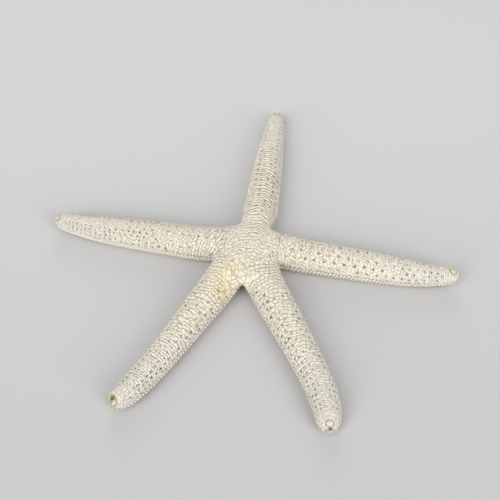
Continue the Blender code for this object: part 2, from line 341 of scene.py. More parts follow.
def place_on(arm, places):
    """Distance along the arm, offset to the left of its line, and distance from the line, for each place."""
    nearest = ((places[:, None, :2] - arm["line"][None]) ** 2).sum(2).argmin(1)
    way = arm["way"][np.clip(nearest - 1, 0, AXIS_STEPS - 1)]
    offset = places[:, :2] - arm["line"][nearest]
    s = nearest * arm["length"] / AXIS_STEPS + (offset * way).sum(1)
    left = way[:, 0] * offset[:, 1] - way[:, 1] * offset[:, 0]
    return s, left, np.sqrt((offset**2).sum(1))


on_each = [place_on(arm, points) for arm in ARMS.values()]
arm_of = np.array([distance for _, _, distance in on_each]).argmin(0)
along, left_of, width, lift, length = (np.zeros(len(points)) for _ in range(5))
for number, (arm, (s, left, _)) in enumerate(zip(ARMS.values(), on_each)):
    own = arm_of == number
    along[own], left_of[own] = s[own], left[own]
    width[own], lift[own], length[own] = width_at(arm, s[own]), lift_at(arm, s[own]), arm["length"]
round_angle = np.arctan2(left_of, points[:, 2] - lift - HEIGHT_OF_MIDDLE * width)
from_middle = np.hypot(points[:, 0] - DISC_MIDDLE.x, points[:, 1] - DISC_MIDDLE.y)
to_end = length - along
print("points on each arm:", np.bincount(arm_of))

# %% [markdown]
# ## Flat underside, grooves and mouth
# A dried starfish rests on its mouth side. A groove runs along the underside of each arm, where the tube
# feet were, and the five grooves meet in the mouth. They could be cut with a Boolean, but that breaks the
# even mesh, so the points are moved instead: everything below the resting plane goes up to it, and the
# groove's points go further up.

# %% Flatten the underside and sink the grooves
UNDER_PLATE_RISE = 0.3  # plates of the underside reach this far down to the table
RESTING_BELOW = (1.2, 0.2)  # heights between which the flank turns into the underside
RESTING_FACES = (0.1, -0.35)  # and how far up the skin faces there, from 1 for up to -1 for down
CORNER_SOFTNESS = 0.25
GROOVE_HALF_WIDTH = 1.5
GROOVE_DEPTH = 2.0
GROOVE_ENDS = (3.0, 12.0)  # distances from the arm's end where the groove starts and has its full depth
FULL_WIDTH = 13.0  # width of an arm for which the groove's size is given
MOUTH_RADIUS = 3.4
MOUTH_DEPTH = 3.6


def fade(value, start, end):
    """0 before start, 1 after end, and smooth between them. start may be larger than end."""
    t = np.clip((value - start) / (end - start), 0.0, 1.0)
    return t * t * (3 - 2 * t)


def soft_floor(height, floor, softness):
    """The larger of two heights, with a rounded corner where they meet."""
    return (height + floor + np.sqrt((height - floor) ** 2 + softness**2)) / 2


resting = fade(points[:, 2] - lift, *RESTING_BELOW) * fade(outward[:, 2], *RESTING_FACES)
small = width / FULL_WIDTH
across_groove = np.abs(left_of) / (GROOVE_HALF_WIDTH * small)
groove = fade(to_end, *GROOVE_ENDS) * np.clip(1 - across_groove**2, 0.0, 1.0) * resting
mouth = np.clip(1 - (from_middle / MOUTH_RADIUS) ** 2, 0.0, 1.0) * resting
points[:, 2] = soft_floor(points[:, 2], lift + UNDER_PLATE_RISE * resting, CORNER_SOFTNESS)
points[:, 2] += np.maximum(GROOVE_DEPTH * small * groove, MOUTH_DEPTH * mouth)
print("points in the grooves and the mouth:", int((groove > 0).sum() + (mouth > 0).sum()))

# %% [markdown]
# ## Rows of plates and chains of beads
# The skin's plates stand in rows across each arm, which makes the wavy ridges of the photograph, and chains
# of beads run along each flank. Where two arms meet and on the underside there are no rows. Plates of all
# shapes pave the skin there, and larger ones the front axil. Every point gets a row number that rises
# evenly along the arm and a plate number that rises evenly round it, and an edge lies where a number is
# whole. All plates could be grown from scattered seeds, as the paving is, but a mesh this coarse breaks the
# thin lines between them up, and a number that rises evenly lets the material draw them unbroken. The arms
# differ, so each has its own table.

# %% What each arm's skin is like
SKIN_AT = (0.10, 0.35, 0.60, 0.85, 1.0)  # shares of an arm's length where these are given
# pitch is the width of a row and plate the length of a plate in it, seam is how deep the plates are parted,
# ridge and bead are how high rows and beads rise, bow is how far a row's middle runs ahead of its ends and
# slant how far its left end does, wobble is how wavy rows are, and rows_from is where they begin
SKINS = {
    "right": dict(pitch=(1.5, 1.4, 1.3, 0.95, 0.7), plate=(1.5, 1.4, 1.3, 1.0, 0.7),
                  seam=(0.9, 1.0, 1.0, 1.0, 0.9), ridge=(0.40, 0.25, 0.20, 0.25, 0.2), bead=0.75,
                  bow=(0, 0, 0, 0, 0), slant=0.0, wobble=0.9, rows_from=11.0),
    "back": dict(pitch=(1.45, 1.5, 1.35, 1.0, 0.7), plate=(2.6, 2.6, 2.4, 1.6, 0.9),
                 seam=(0.4, 0.25, 0.25, 0.4, 0.5), ridge=(0.7, 0.8, 0.78, 0.5, 0.3), bead=0.3,
                 bow=(3.5, 3.5, 3.5, 3.5, 3.5), slant=0.8, wobble=0.28, rows_from=0.0),
    "left": dict(pitch=(1.25, 1.25, 1.2, 0.95, 0.7), plate=(1.6, 1.35, 1.3, 1.0, 0.7),
                 seam=(0.8, 1.0, 1.0, 1.0, 0.9), ridge=(0.6, 0.42, 0.32, 0.3, 0.3), bead=0.9,
                 bow=(0, 0, 0, 0, 0), slant=2.4, wobble=0.75, rows_from=9.5),
    "front left": dict(pitch=(1.5, 1.45, 1.3, 0.9, 0.65), plate=(1.8, 1.7, 1.6, 1.1, 0.7),
                       seam=(0.95, 0.85, 0.75, 0.7, 0.7), ridge=(0.45, 0.42, 0.42, 0.42, 0.28), bead=0.7,
                       bow=(0.5, -0.5, -1.0, -3.5, -4.5), slant=-0.5, wobble=0.6, rows_from=13.0),
    "front right": dict(pitch=(1.5, 1.55, 1.3, 0.85, 0.65), plate=(1.8, 1.7, 1.6, 1.1, 0.7),
                        seam=(0.95, 0.9, 0.8, 0.7, 0.6), ridge=(0.5, 0.42, 0.42, 0.44, 0.25), bead=0.5,
                        bow=(-1.0, -2.5, -3.0, -3.5, -4.0), slant=1.4, wobble=0.6, rows_from=13.0),
}
BACK_EDGE = math.radians(88)  # the rows end here, where the first chain of beads begins
BAND = math.radians(18)  # how much of the way round one chain of beads takes
LAST_BAND = 3
BEAD_PITCH = (1.5, 1.45, 1.35, 1.2, 1.0)
STAGGER = 0.382  # each row's plates lie this share of a plate further round than the last row's


def count_up(arm, pitches, s):
    """How many plates fit in between the disc's middle and distances s, where their pitch changes."""
    steps = np.linspace(-25.0, arm["length"] + 8.0, 1000)
    pitch = np.interp(steps / arm["length"], SKIN_AT, pitches)
    return np.interp(s, steps, np.cumsum(np.gradient(steps) / pitch))


for name, skin_of in SKINS.items():
    first, last = count_up(ARMS[name], skin_of["pitch"], (15.0, 79.0))
    print(name, "arm has", round(last - first), "rows from 15 mm on")

# %% Waves that make the rows uneven
SMALL_WAVE, LARGE_WAVE = 2.4, 8.0  # sizes, about two plates and five


def waves(size, shift):
    """Smooth noise of a size between -1 and 1 at each point. A shift gives another noise of that size."""
    return np.array([noise.noise(Vector(place) / size + Vector(shift)) for place in points])


small_waves = waves(SMALL_WAVE, (0, 0, 0))
large_waves = waves(LARGE_WAVE, (9, 9, 9))
side_waves = waves(SMALL_WAVE, (5, 0, 9))
print("waves reach from", round(small_waves.min(), 2), "to", round(small_waves.max(), 2))

# %% Number the rows, the plates in them and the beads
DISC_ROW_RADIUS = 6.5  # rows on the disc run as on an arm of this radius at least
DISC_ROW_TURN = 1.6  # and go this far round, in radians
DISC_WOBBLE, ARM_WOBBLE_FROM = 0.7, (4, 14)  # they are wavier, and even out between these distances
DISC_SEAM, DISC_RIDGE = 0.9, 0.42
LARGE_WOBBLE, SIDE_WOBBLE = 0.8, 0.5
BOW_PIVOT = 0.75  # cosine of the angle where a bowed row stays in place
BEAD_LEAN = 0.7  # the lines of beads down the flank lean this much towards the disc
BEAD_RISE = 1.4  # a bead's rise, compared with a plate's

row, across, bead, ridge, seam = (np.zeros(len(points)) for _ in range(5))
rows_from = np.array([skin_of["rows_from"] for skin_of in SKINS.values()])[arm_of]
back = list(ARMS).index("back")
on_disc = (arm_of != back) & (along < rows_from)
group = np.where(on_disc, back, arm_of)  # the disc's rows carry on from those of the back arm
for number, (name, arm) in enumerate(ARMS.items()):
    own, skin_of = group == number, SKINS[name]
    s, left, _ = (values[own] for values in on_each[number])
    radius, wobble = width[own] / 2, skin_of["wobble"]
    if number == back:
        radius = np.maximum(radius, DISC_ROW_RADIUS)
        wobble = np.interp(s, ARM_WOBBLE_FROM, (DISC_WOBBLE, wobble))
    angle = np.where(on_disc[own], np.clip(left / radius, -DISC_ROW_TURN, DISC_ROW_TURN), round_angle[own])
    bow, plate, ridge[own], seam[own] = (np.interp(s / arm["length"], SKIN_AT, skin_of[key])
                                         for key in ("bow", "plate", "ridge", "seam"))
    bend = bow * (np.cos(angle) - BOW_PIVOT) + skin_of["slant"] * np.sin(angle)
    wavy = wobble * small_waves[own] + LARGE_WOBBLE * large_waves[own]
    row[own] = count_up(arm, skin_of["pitch"], s - bend) + wavy
    across[own] = angle * radius / plate + SIDE_WOBBLE * side_waves[own]
    bead[own] = count_up(arm, BEAD_PITCH, s + BEAD_LEAN * (np.abs(angle) - BACK_EDGE) * radius)
    flank = own & (np.abs(round_angle) > BACK_EDGE)
    ridge[flank], seam[flank] = BEAD_RISE * skin_of["bead"], 1.0
seam[on_disc], ridge[on_disc] = DISC_SEAM, DISC_RIDGE
band = np.where(on_disc, -1.0, (np.abs(round_angle) - BACK_EDGE) / BAND)
print("chains of beads reach round to", round(math.degrees(BACK_EDGE + LAST_BAND * BAND)), "degrees")

# %% Where the rows give way to the paving
ARMS_MEET = (0.3, 1.3)  # how much closer to its own arm than to the next a point is
ROWS_MEET = (0.3, 1.0)  # how far from the place where the arm's rows begin
DISC_RADIUS = 9.0  # within it rows run on over the lines where arms meet
AXIL_WALLS = (0.35, 0.15)  # how far up the steep skin between two arms faces
AXIL_LENGTH = 15.0  # and how far along the arm it reaches

distances = np.sort(np.array([distance for _, _, distance in on_each]), 0)
apart = fade(distances[1] - distances[0], *ARMS_MEET)
on_arm = np.where(arm_of == back, 1.0, fade(np.abs(along - rows_from), *ROWS_MEET))
on_arm *= (np.where(on_disc | (from_middle < DISC_RADIUS), 1.0, apart)
           * fade(band, LAST_BAND, LAST_BAND - 0.3))
on_arm *= 1 - fade(outward[:, 2], *AXIL_WALLS) * (along < AXIL_LENGTH)
print("rows on each arm:", [int(np.ptp(row[(arm_of == k) & (on_arm > 0.5)])) for k in range(len(ARMS))])

# %% Raise the plates and beads
PLATE_RISE = 0.38
STAYS_AT = 0.38  # share of a plate's rise where the skin stays in place, so that the arm keeps its width
PAVING_PLATE, PAVING_RIDGE = 1.5, 0.6  # size and height of the small plates that pave the skin
COBBLE_PLATE, COBBLE_LESS = 2.0, 0.15  # size of the larger ones, and how much less high they stand
COBBLES_AT, COBBLES_REACH = (-5.3, -18.0), (4.6, 7.5)  # middle and half size of where they lie, along x and y
COBBLES_ABOVE = 5.0
END_FADE, END_RELIEF = (1.0, 5.0), 0.25  # towards an arm's end the relief falls to this share
GROOVE_LOSS = 0.8  # share of the relief that is gone in the grooves and the mouth


def paved(size):
    """0 at the edges of scattered plates of a size, 1 on them."""
    nearest = np.array([noise.voronoi(Vector(place) / size)[0][:2] for place in points])
    return fade(nearest[:, 1] - nearest[:, 0], 0.0, 0.5)


row_number = np.where(band > 0, band, row)
plate_number = np.where(band > 0, bead, across) + STAGGER * np.floor(row_number)
row_swell, plate_swell = ((1 - np.cos(math.tau * number)) / 2 for number in (row_number, plate_number))
arm_swell = row_swell * (1 - seam * (1 - plate_swell)) * fade(np.abs(band), 0.0, 0.2)
from_cobbles = (points[:, :2] - COBBLES_AT) / COBBLES_REACH
cobbled = fade(np.hypot(from_cobbles[:, 0], from_cobbles[:, 1]), 1.2, 0.8) * (points[:, 2] > COBBLES_ABOVE)
on_arm *= 1 - cobbled
paving_swell = paved(PAVING_PLATE) * (1 - cobbled) + paved(COBBLE_PLATE) * cobbled
swell = arm_swell * on_arm + paving_swell * (1 - on_arm)
rise = ridge * on_arm + (PAVING_RIDGE - COBBLE_LESS * cobbled) * (1 - on_arm)
height = rise * PLATE_RISE * (swell - STAYS_AT)
height = height * (END_RELIEF + (1 - END_RELIEF) * fade(to_end, *END_FADE))
height = height * (1 - GROOVE_LOSS * np.maximum(groove, mouth))
print("relief from", round(height.min(), 2), "to", round(height.max(), 2), "mm")

# %% [markdown]
# ## Pores
# Between the plates the skin has pores, about a millimetre wide, that stand in loose rows along each arm.
# The animal breathed through them. Most are open and dark inside, and the others hold a grain. They could
# be cut with a Boolean or be only dots of colour. Here each is a pit pressed into the mesh and centred on a
# point of it, so that its bottom is a real point, and its distance attribute lets the material draw a round
# rim finer than the mesh is. The material also paints shade on the pores' walls and in the open ones.

# %% Where the pores stand
PORE_ROWS = {  # angle round the arm, from and to which distance, spacing, strength, radius
    "right": ((2, 16, 60, 3.8, 0.55, 0.46), (21, 14, 72, 3.6, 0.9, 0.5), (44, 14, 73, 3.6, 1.0, 0.54),
              (66, 15, 73, 3.6, 1.0, 0.52), (87, 14, 66, 2.1, 0.7, 0.40)),
    "back": ((12, 12, 52, 3.0, 0.8, 0.5), (36, 14, 68, 3.0, 1.0, 0.5), (58, 13, 70, 3.2, 0.9, 0.5),
             (78, 14, 60, 3.0, 0.5, 0.45)),
    "left": ((14, 10, 50, 3.2, 0.8, 0.45), (30, 36, 74, 2.6, 0.9, 0.46), (45, 36, 75, 2.6, 0.9, 0.48),
             (60, 36, 76, 2.6, 0.9, 0.48), (76, 32, 75, 2.6, 0.9, 0.46), (60, 14, 36, 3.3, 0.5, 0.5),
             (88, 12, 32, 2.2, 0.7, 0.4)),
    "front left": ((9, 30, 73, 2.9, 0.7, 0.42), (32, 25, 76, 2.8, 1.0, 0.47), (53, 25, 76, 2.8, 1.1, 0.48),
                   (72, 24, 74, 2.6, 1.0, 0.44), (87, 20, 72, 2.1, 0.5, 0.4)),
    "front right": ((16, 30, 76, 2.9, 0.8, 0.42), (36, 25, 76, 2.8, 1.05, 0.47), (56, 24, 75, 2.8, 1.1, 0.47),
                    (76, 22, 74, 2.6, 1.0, 0.43), (88, 20, 72, 2.1, 0.4, 0.4)),
}
TAPER_AT = (0.5, 1.0)  # shares of the length between which pores get smaller and closer
END_SIZE, END_SPACING = 0.65, 0.55  # shares of their size and spacing that are left at the end
ANGLE_SPREAD = 1.5  # degrees
PRESENT, PLUGGED = 0.94, 0.35  # share of the places that have a pore, and of the pores that hold a grain
chance = np.random.default_rng(11)

surface = kdtree.KDTree(len(points))
for index, point in enumerate(points):
    surface.insert(point, index)
surface.balance()
pores = []  # index of the point in the middle, radius, strength, and whether it is plugged
for name, rows in PORE_ROWS.items():
    arm = ARMS[name]
    for number, (degrees, first, last, spacing, strength, radius) in enumerate(rows):
        for side in (-1, 1):
            s = first + spacing * (0.5 * (number % 2) + chance.uniform(0, 0.2))
            while s < last:
                smaller, closer = (float(np.interp(s / arm["length"], TAPER_AT, (1.0, at_end)))
                                   for at_end in (END_SIZE, END_SPACING))
                angle = math.radians(side * degrees + chance.normal(0, ANGLE_SPREAD))
                size = radius * smaller * chance.uniform(0.85, 1.15)
                if chance.uniform() < PRESENT:
                    index = surface.find(Vector(skin_at(arm, s, angle)))[1]
                    pores.append((index, size, strength * chance.uniform(0.7, 1.1),
                                  chance.uniform() < PLUGGED))
                s += spacing * closer * chance.uniform(0.92, 1.08)
print("pores:", len(pores))

# %% Press the pores in
PORE_DEPTH = 0.42
GRAIN = 0.6  # how far the grain in a plugged pore fills it

pore_tree = kdtree.KDTree(len(pores))
for number, (index, *_) in enumerate(pores):
    pore_tree.insert(points[index], number)
pore_tree.balance()
found = [pore_tree.find(place) for place in points]
nearest_pore = np.array(pores, float)[[number for _, number, _ in found]]
pore_edge = np.array([distance for _, _, distance in found]) / nearest_pore[:, 1]  # 1 at the rim
pore_edge = np.minimum(pore_edge, 3.0)
pore_strength = nearest_pore[:, 2] * (pore_edge < 2.5)
plugged = nearest_pore[:, 3]
pit = np.exp(-pore_edge**4 * 0.8) * (1 - GRAIN * plugged * np.exp(-(pore_edge**2) * 3))
height -= PORE_DEPTH * pore_strength * pit
print("points inside pores:", int((pore_edge < 1).sum()))

# %% [markdown]
# ## The ends of the arms and the sieve plate
# Each arm ends in one round plate, with a rim around it, which held the eye. On the real specimen they have
# aged differently: some are pale, some are stained amber, and two have a hole where the plate has broken.
# On the disc lies the sieve plate, a small flat disc off the middle. They could be pieces of their own set
# into the skin, but they grew with it, so they are raised from the same mesh, each round the point of the
# skin that is nearest to its place.

# %% Shape the end plates
END_PLATES = {  # place, radius, rise, depth of the rim
    "right": ((75.5, -13.7, 7.2), 1.30, 0.15, 0.22),
    "back": ((11.8, 76.0, 5.4), 1.10, 0.30, 0.30),
    "left": ((-76.7, 13.2, 6.7), 1.10, 0.30, 0.35),
    "front left": ((-46.0, -65.6, 6.2), 1.90, 0.10, 0.20),
    "front right": ((25.3, -74.1, 7.0), 1.35, 0.12, 0.25),
}
RIM_AT, RIM_WIDTH = 1.1, 0.25  # where the rim is deepest and how wide it is, in radii of the plate
RIM_LINE_AT = 1.05
PLATE_LOSS = 0.8  # share of the skin's relief that is gone on an end plate


def distance_to(place):
    """Each point's distance from the point of the mesh that is nearest to a place."""
    return np.linalg.norm(points - np.array(surface.find(place)[0]), axis=1)


rim_line = np.full(len(points), 3.0)
for place, radius, plate_rise, rim in END_PLATES.values():
    radii = distance_to(place) / radius
    cap = plate_rise * np.clip(1 - radii**2, 0, 1) - rim * np.exp(-(((radii - RIM_AT) / RIM_WIDTH) ** 2))
    height = height * (1 - PLATE_LOSS * fade(radii, 1.7, 1.2)) + cap
    rim_line = np.minimum(rim_line, np.abs(radii - RIM_LINE_AT) * radius)
print("points on rims:", int((rim_line < 0.2).sum()))

# %% Stains and holes in the arms' ends, and the sieve plate
AMBER_SPOTS = (((-45.6, -64.9, 7.3), 1.1, 1.0), ((-46.0, -65.6, 6.1), 0.8, 0.85),
               ((25.3, -74.6, 5.9), 0.7, 0.7), ((24.4, -75.3, 4.6), 0.6, 0.5),
               ((26.4, -75.0, 4.8), 0.6, 0.5))  # place, radius, strength
HOLES = (((25.4, -75.0, 4.9), 0.7, 0.6), ((-45.7, -65.1, 7.1), 0.38, 0.3),
         ((-3.7, -7.4, 12.7), 0.4, 0.15))  # place, radius, depth; the last is a small pit on the disc
CREAM_ENDS = (((-46.0, -65.8, 5.5), 2.5), ((25.4, -75.6, 3.6), 2.1),
              ((74.0, -13.2, 7.6), 1.7))  # place, radius
SIEVE_AT, SIEVE_RADIUS = (2.9, -5.5, 12.9), 1.35
SIEVE_RISE, SIEVE_LOSS = 0.10, 0.9  # height, and share of the skin's relief that is gone on it

amber, hole_shade, cream = (np.zeros(len(points)) for _ in range(3))
for place, radius, strength in AMBER_SPOTS:
    amber = np.maximum(amber, strength * fade(distance_to(place) / radius, 1.3, 0.5))
# each hole is pressed in, and its inside is also painted dark, as shade
for place, radius, depth in HOLES:
    within = fade(distance_to(place) / radius, 1.2, 0.5)
    hole_shade = np.maximum(hole_shade, within)
    height -= depth * within
for place, radius in CREAM_ENDS:
    cream = np.maximum(cream, fade(distance_to(place) / radius, 1.25, 0.75))
sieve = fade(distance_to(SIEVE_AT) / SIEVE_RADIUS, 1.1, 0.8)
height = height * (1 - SIEVE_LOSS * sieve) + SIEVE_RISE * sieve
print("points under amber stains:", int((amber > 0.5).sum()))

# %% Move the points out along the skin
moved = points + outward * height[:, None]
moved[:, 2] = np.maximum(moved[:, 2], np.where(resting > 0.5, lift, 0.0))  # nothing hangs below the underside
moved[:, 2] -= moved[:, 2].min()
moved += np.array(TO_ORIGIN)
starfish.data.vertices.foreach_set("co", (moved * MM).ravel())
starfish.data.update()
print("body's size, mm:", np.ptp(moved, axis=0).round(2))

# %% Where the skin is stained yellow
STAINS = (((-8.8, -16.5), (-10.8, -24.0), 1.5, 6.5, 1.0), ((-4.0, -13.0), (-4.0, -18.0), 2.0, 6.0, 0.5))
# each with its two ends, its half width inside and outside, and its strength
STAINED_ABOVE = 4.0

stain = np.zeros(len(points))
for start, end, inner, outer, strength in STAINS:
    way = np.subtract(end, start)
    share = np.clip(((points[:, :2] - start) @ way) / (way @ way), 0.0, 1.0)
    distance = np.linalg.norm(points[:, :2] - start - share[:, None] * way, axis=1)
    stain = np.maximum(stain, strength * fade(distance, outer, inner) * (points[:, 2] > STAINED_ABOVE))
print("stained points:", int((stain > 0.5).sum()))

# %% Keep what the material needs, as numbers for each point of the mesh
KEPT = {
    "row": row, "across": across, "band": band, "bead": bead, "joined": 1 - seam, "on_arm": on_arm,
    "rise": rise, "cobbled": cobbled, "pore_edge": pore_edge, "pore_strength": pore_strength,
    "plugged": plugged, "rim_line": rim_line, "amber": amber, "hole_shade": hole_shade, "cream": cream, "stain": stain,
    "groove": np.maximum(groove, mouth), "under": fade(outward[:, 2], -0.25, -0.7), "to_end": to_end,
}
for name, values in KEPT.items():
    attribute = starfish.data.attributes.new(name, "FLOAT", "POINT")
    attribute.data.foreach_set("value", np.asarray(values, np.float32))
print("attributes:", len(KEPT))

# %% [markdown]
# ## The finish: bleached limestone skin
# The skin is calcite, grown by the animal and bleached: matt, chalky and slightly see-through at its
# surface, with brown dirt left between the plates. The darkening there is that dirt and painted shade
# together, the dark inside the open pores and the broken holes is painted shade, and the chains of beads
# on the flanks get a painted highlight. It could be painted on by hand, or be one noise pattern all over.
# But the dirt and painted shade lie where plates end, so the material is a stack of washes. Each is one
# colour, spread by a pattern or by the kept numbers, and lies over those before it. The crisp lines between
# plates come from the kept numbers too: Ping-Pong turns a number that rises evenly into the distance from
# the nearest whole one, which is an edge.

# %% A helper for colours and one for nodes
def linear(hex_colour):
    """The linear colour of an sRGB hex value, as a shader takes it."""
    parts = [int(hex_colour[i:i + 2], 16) / 255 for i in (0, 2, 4)]
    return (*(part / 12.92 if part <= 0.04045 else ((part + 0.055) / 1.055) ** 2.4 for part in parts), 1.0)


def add(tree, kind, inputs, output=0, **settings):
    """Adds a node, sets it, fills its inputs with numbers, hex colours or outputs, and returns an output."""
    node = tree.nodes.new("ShaderNode" + kind)
    for key, value in settings.items():
        setattr(node, key, value)
    for key, value in inputs.items() if isinstance(inputs, dict) else enumerate(inputs):
        if isinstance(value, bpy.types.NodeSocket):
            tree.links.new(value, node.inputs[key])
        else:
            node.inputs[key].default_value = linear(value) if isinstance(value, str) else value
    return node.outputs[output]


print("the palest skin, linear:", [round(part, 3) for part in linear("FEFAF0")])

# %% Read the kept numbers
SMOOTH = dict(interpolation_type="SMOOTHSTEP")  # a Map Range with rounded ends
PER_MM = 1000.0  # a pattern's Scale is this over its real size in millimetres

skin = bpy.data.materials.new("bleached_calcite_skin")
skin.use_nodes = True
tree = skin.node_tree
shader = tree.nodes["Principled BSDF"]
kept = {name: add(tree, "Attribute", (), "Fac", attribute_name=name) for name in KEPT}
object_place = add(tree, "TexCoord", (), "Object")
print("kept numbers:", list(kept))

# %% Lines between rows, plates and beads
# A Mix node takes its share at 0. Numbers go in at 2 and 3, and colours at 6 and 7.
LOW_ROW_GAP, HIGH_ROW_GAP = 0.20, 0.38  # half width of the line between rows: the higher they are, the wider
CHAIN_GAP, PLATE_GAP, BEAD_GAP = 0.18, 0.18, 0.34
FLANK_GAP = 0.20  # where the rows end and the first chain of beads begins

on_beads = add(tree, "Math", (kept["band"], 0.0), operation="GREATER_THAN")
row_count = add(tree, "Mix", {0: on_beads, 2: kept["row"], 3: kept["band"]})
this_row = add(tree, "Math", (row_count,), operation="FLOOR")
plate_count = add(tree, "Mix", {0: on_beads, 2: kept["across"], 3: kept["bead"]})
plate_count = add(tree, "Math", (this_row, STAGGER, plate_count), operation="MULTIPLY_ADD")
this_plate = add(tree, "Math", (plate_count,), operation="FLOOR")
row_edge = add(tree, "Math", (row_count, 0.5), operation="PINGPONG")
plate_edge = add(tree, "Math", (plate_count, 0.5), operation="PINGPONG")
row_gap = add(tree, "MapRange", (kept["rise"], 0.2, 0.9, LOW_ROW_GAP, HIGH_ROW_GAP))
row_gap = add(tree, "Mix", {0: on_beads, 2: row_gap, 3: CHAIN_GAP})
plate_gap = add(tree, "Mix", {0: on_beads, 2: PLATE_GAP, 3: BEAD_GAP})
row_top = add(tree, "MapRange", (row_edge, 0.0, row_gap), **SMOOTH)
arm_top = add(tree, "MapRange", {0: plate_edge, 1: 0.0, 2: plate_gap, 3: kept["joined"]}, **SMOOTH)
arm_top = add(tree, "Math", (row_top, arm_top), operation="MULTIPLY")
flank_edge = add(tree, "Math", (kept["band"],), operation="ABSOLUTE")
flank_top = add(tree, "MapRange", (flank_edge, 0.0, FLANK_GAP), **SMOOTH)
arm_top = add(tree, "Math", (arm_top, flank_top), operation="MULTIPLY")
print("nodes so far:", len(tree.nodes))

# %% Lines between the plates of the paving
PAVING_LINES = 1.25  # mm, a little finer than the mesh's plates, since two patterns crossing look less even

paving_edge = add(tree, "TexVoronoi", {"Vector": object_place, "Scale": PER_MM / PAVING_LINES},
                  feature="DISTANCE_TO_EDGE")
paving_top = add(tree, "MapRange", (paving_edge, 0.0, 0.22), **SMOOTH)
cobble_edge = add(tree, "TexVoronoi", {"Vector": object_place, "Scale": PER_MM / COBBLE_PLATE},
                  feature="DISTANCE_TO_EDGE")
cobble_top = add(tree, "MapRange", (cobble_edge, 0.0, 0.10), **SMOOTH)
paving_top = add(tree, "Mix", {0: kept["cobbled"], 2: paving_top, 3: cobble_top})
plate_top = add(tree, "Mix", {0: kept["on_arm"], 2: paving_top, 3: arm_top})
print("nodes so far:", len(tree.nodes))

# %% Patterns of the skin, each with its real size in millimetres
PATCH = 22.0  # parts of an arm that have bleached more than others
LUMP = 2.5  # dirt has gathered over two or three plates at a time
NET = 1.05  # a net of furrows parts the granules on and between the plates into groups
GRANULE = 0.55  # the real granules are half as wide, which is too fine to show
GRIT = 0.5  # specks of sand between them, also drawn twice as wide as the real ones

patches = add(tree, "TexNoise", {"Vector": object_place, "Scale": PER_MM / PATCH, "Detail": 3.0})
lumps = add(tree, "TexNoise", {"Vector": object_place, "Scale": PER_MM / LUMP, "Detail": 2.0})
net = add(tree, "TexVoronoi", {"Vector": object_place, "Scale": PER_MM / NET}, feature="DISTANCE_TO_EDGE")
granules = add(tree, "TexVoronoi", {"Vector": object_place, "Scale": PER_MM / GRANULE}, "Distance")
grit = add(tree, "TexNoise", {"Vector": object_place, "Scale": PER_MM / GRIT, "Detail": 2.0,
                              "Roughness": 0.7})
each_plate = add(tree, "CombineXYZ", (this_row, this_plate, kept["on_arm"]))
plate_tone = add(tree, "TexWhiteNoise", {"Vector": each_plate}, "Value")
print("nodes so far:", len(tree.nodes))

# %% Where each wash of colour lies
bleached = add(tree, "MapRange", (patches, 0.35, 0.65), **SMOOTH)
towards_end = add(tree, "MapRange", (kept["to_end"], 55.0, 8.0), **SMOOTH)
granule_edges = add(tree, "MapRange", (granules, 0.3, 0.75), **SMOOTH)
specks = add(tree, "MapRange", (grit, 0.42, 0.60), **SMOOTH)
furrows = add(tree, "MapRange", (net, 0.20, 0.03), **SMOOTH)
# painted shade: plates are darkened on their slopes, and more in the lines between them, so that they look
# rounder and the lines deeper; those lines also hold brown dirt
slope_shade = add(tree, "MapRange", (plate_top, 1.0, 0.15), **SMOOTH)
crevice_dirt_and_shade = add(tree, "MapRange", (plate_top, 0.45, 0.0), **SMOOTH)
# how strong that dirt and painted shade are: patchy, and stronger where the relief rises higher
dirt_and_shade = add(tree, "MapRange", (lumps, 0.3, 0.7, 0.5, 1.0), **SMOOTH)
deep = add(tree, "MapRange", (kept["rise"], 0.0, 0.8, 0.3, 1.0))
dirt_and_shade = add(tree, "Math", (dirt_and_shade, deep), operation="MULTIPLY")
# painted shade on the walls of the pores, and on the bottoms of the open ones
off_bottom = add(tree, "MapRange", (kept["pore_edge"], 0.45, 0.85), **SMOOTH)
within_rim = add(tree, "MapRange", (kept["pore_edge"], 1.45, 1.0), **SMOOTH)
pore_wall_shade = add(tree, "Math", (off_bottom, within_rim), operation="MULTIPLY")
pore_bottom_shade = add(tree, "MapRange", (kept["pore_edge"], 1.0, 0.6), **SMOOTH)
open_pores = add(tree, "MapRange", (kept["plugged"], 1.0, 0.0))
pore_bottom_shade = add(tree, "Math", (pore_bottom_shade, open_pores), operation="MULTIPLY")
end_rims = add(tree, "MapRange", (kept["rim_line"], 0.36, 0.10), **SMOOTH)
broken_up = add(tree, "MapRange", (lumps, 0.3, 0.6, 0.45, 1.0))
print("nodes so far:", len(tree.nodes))

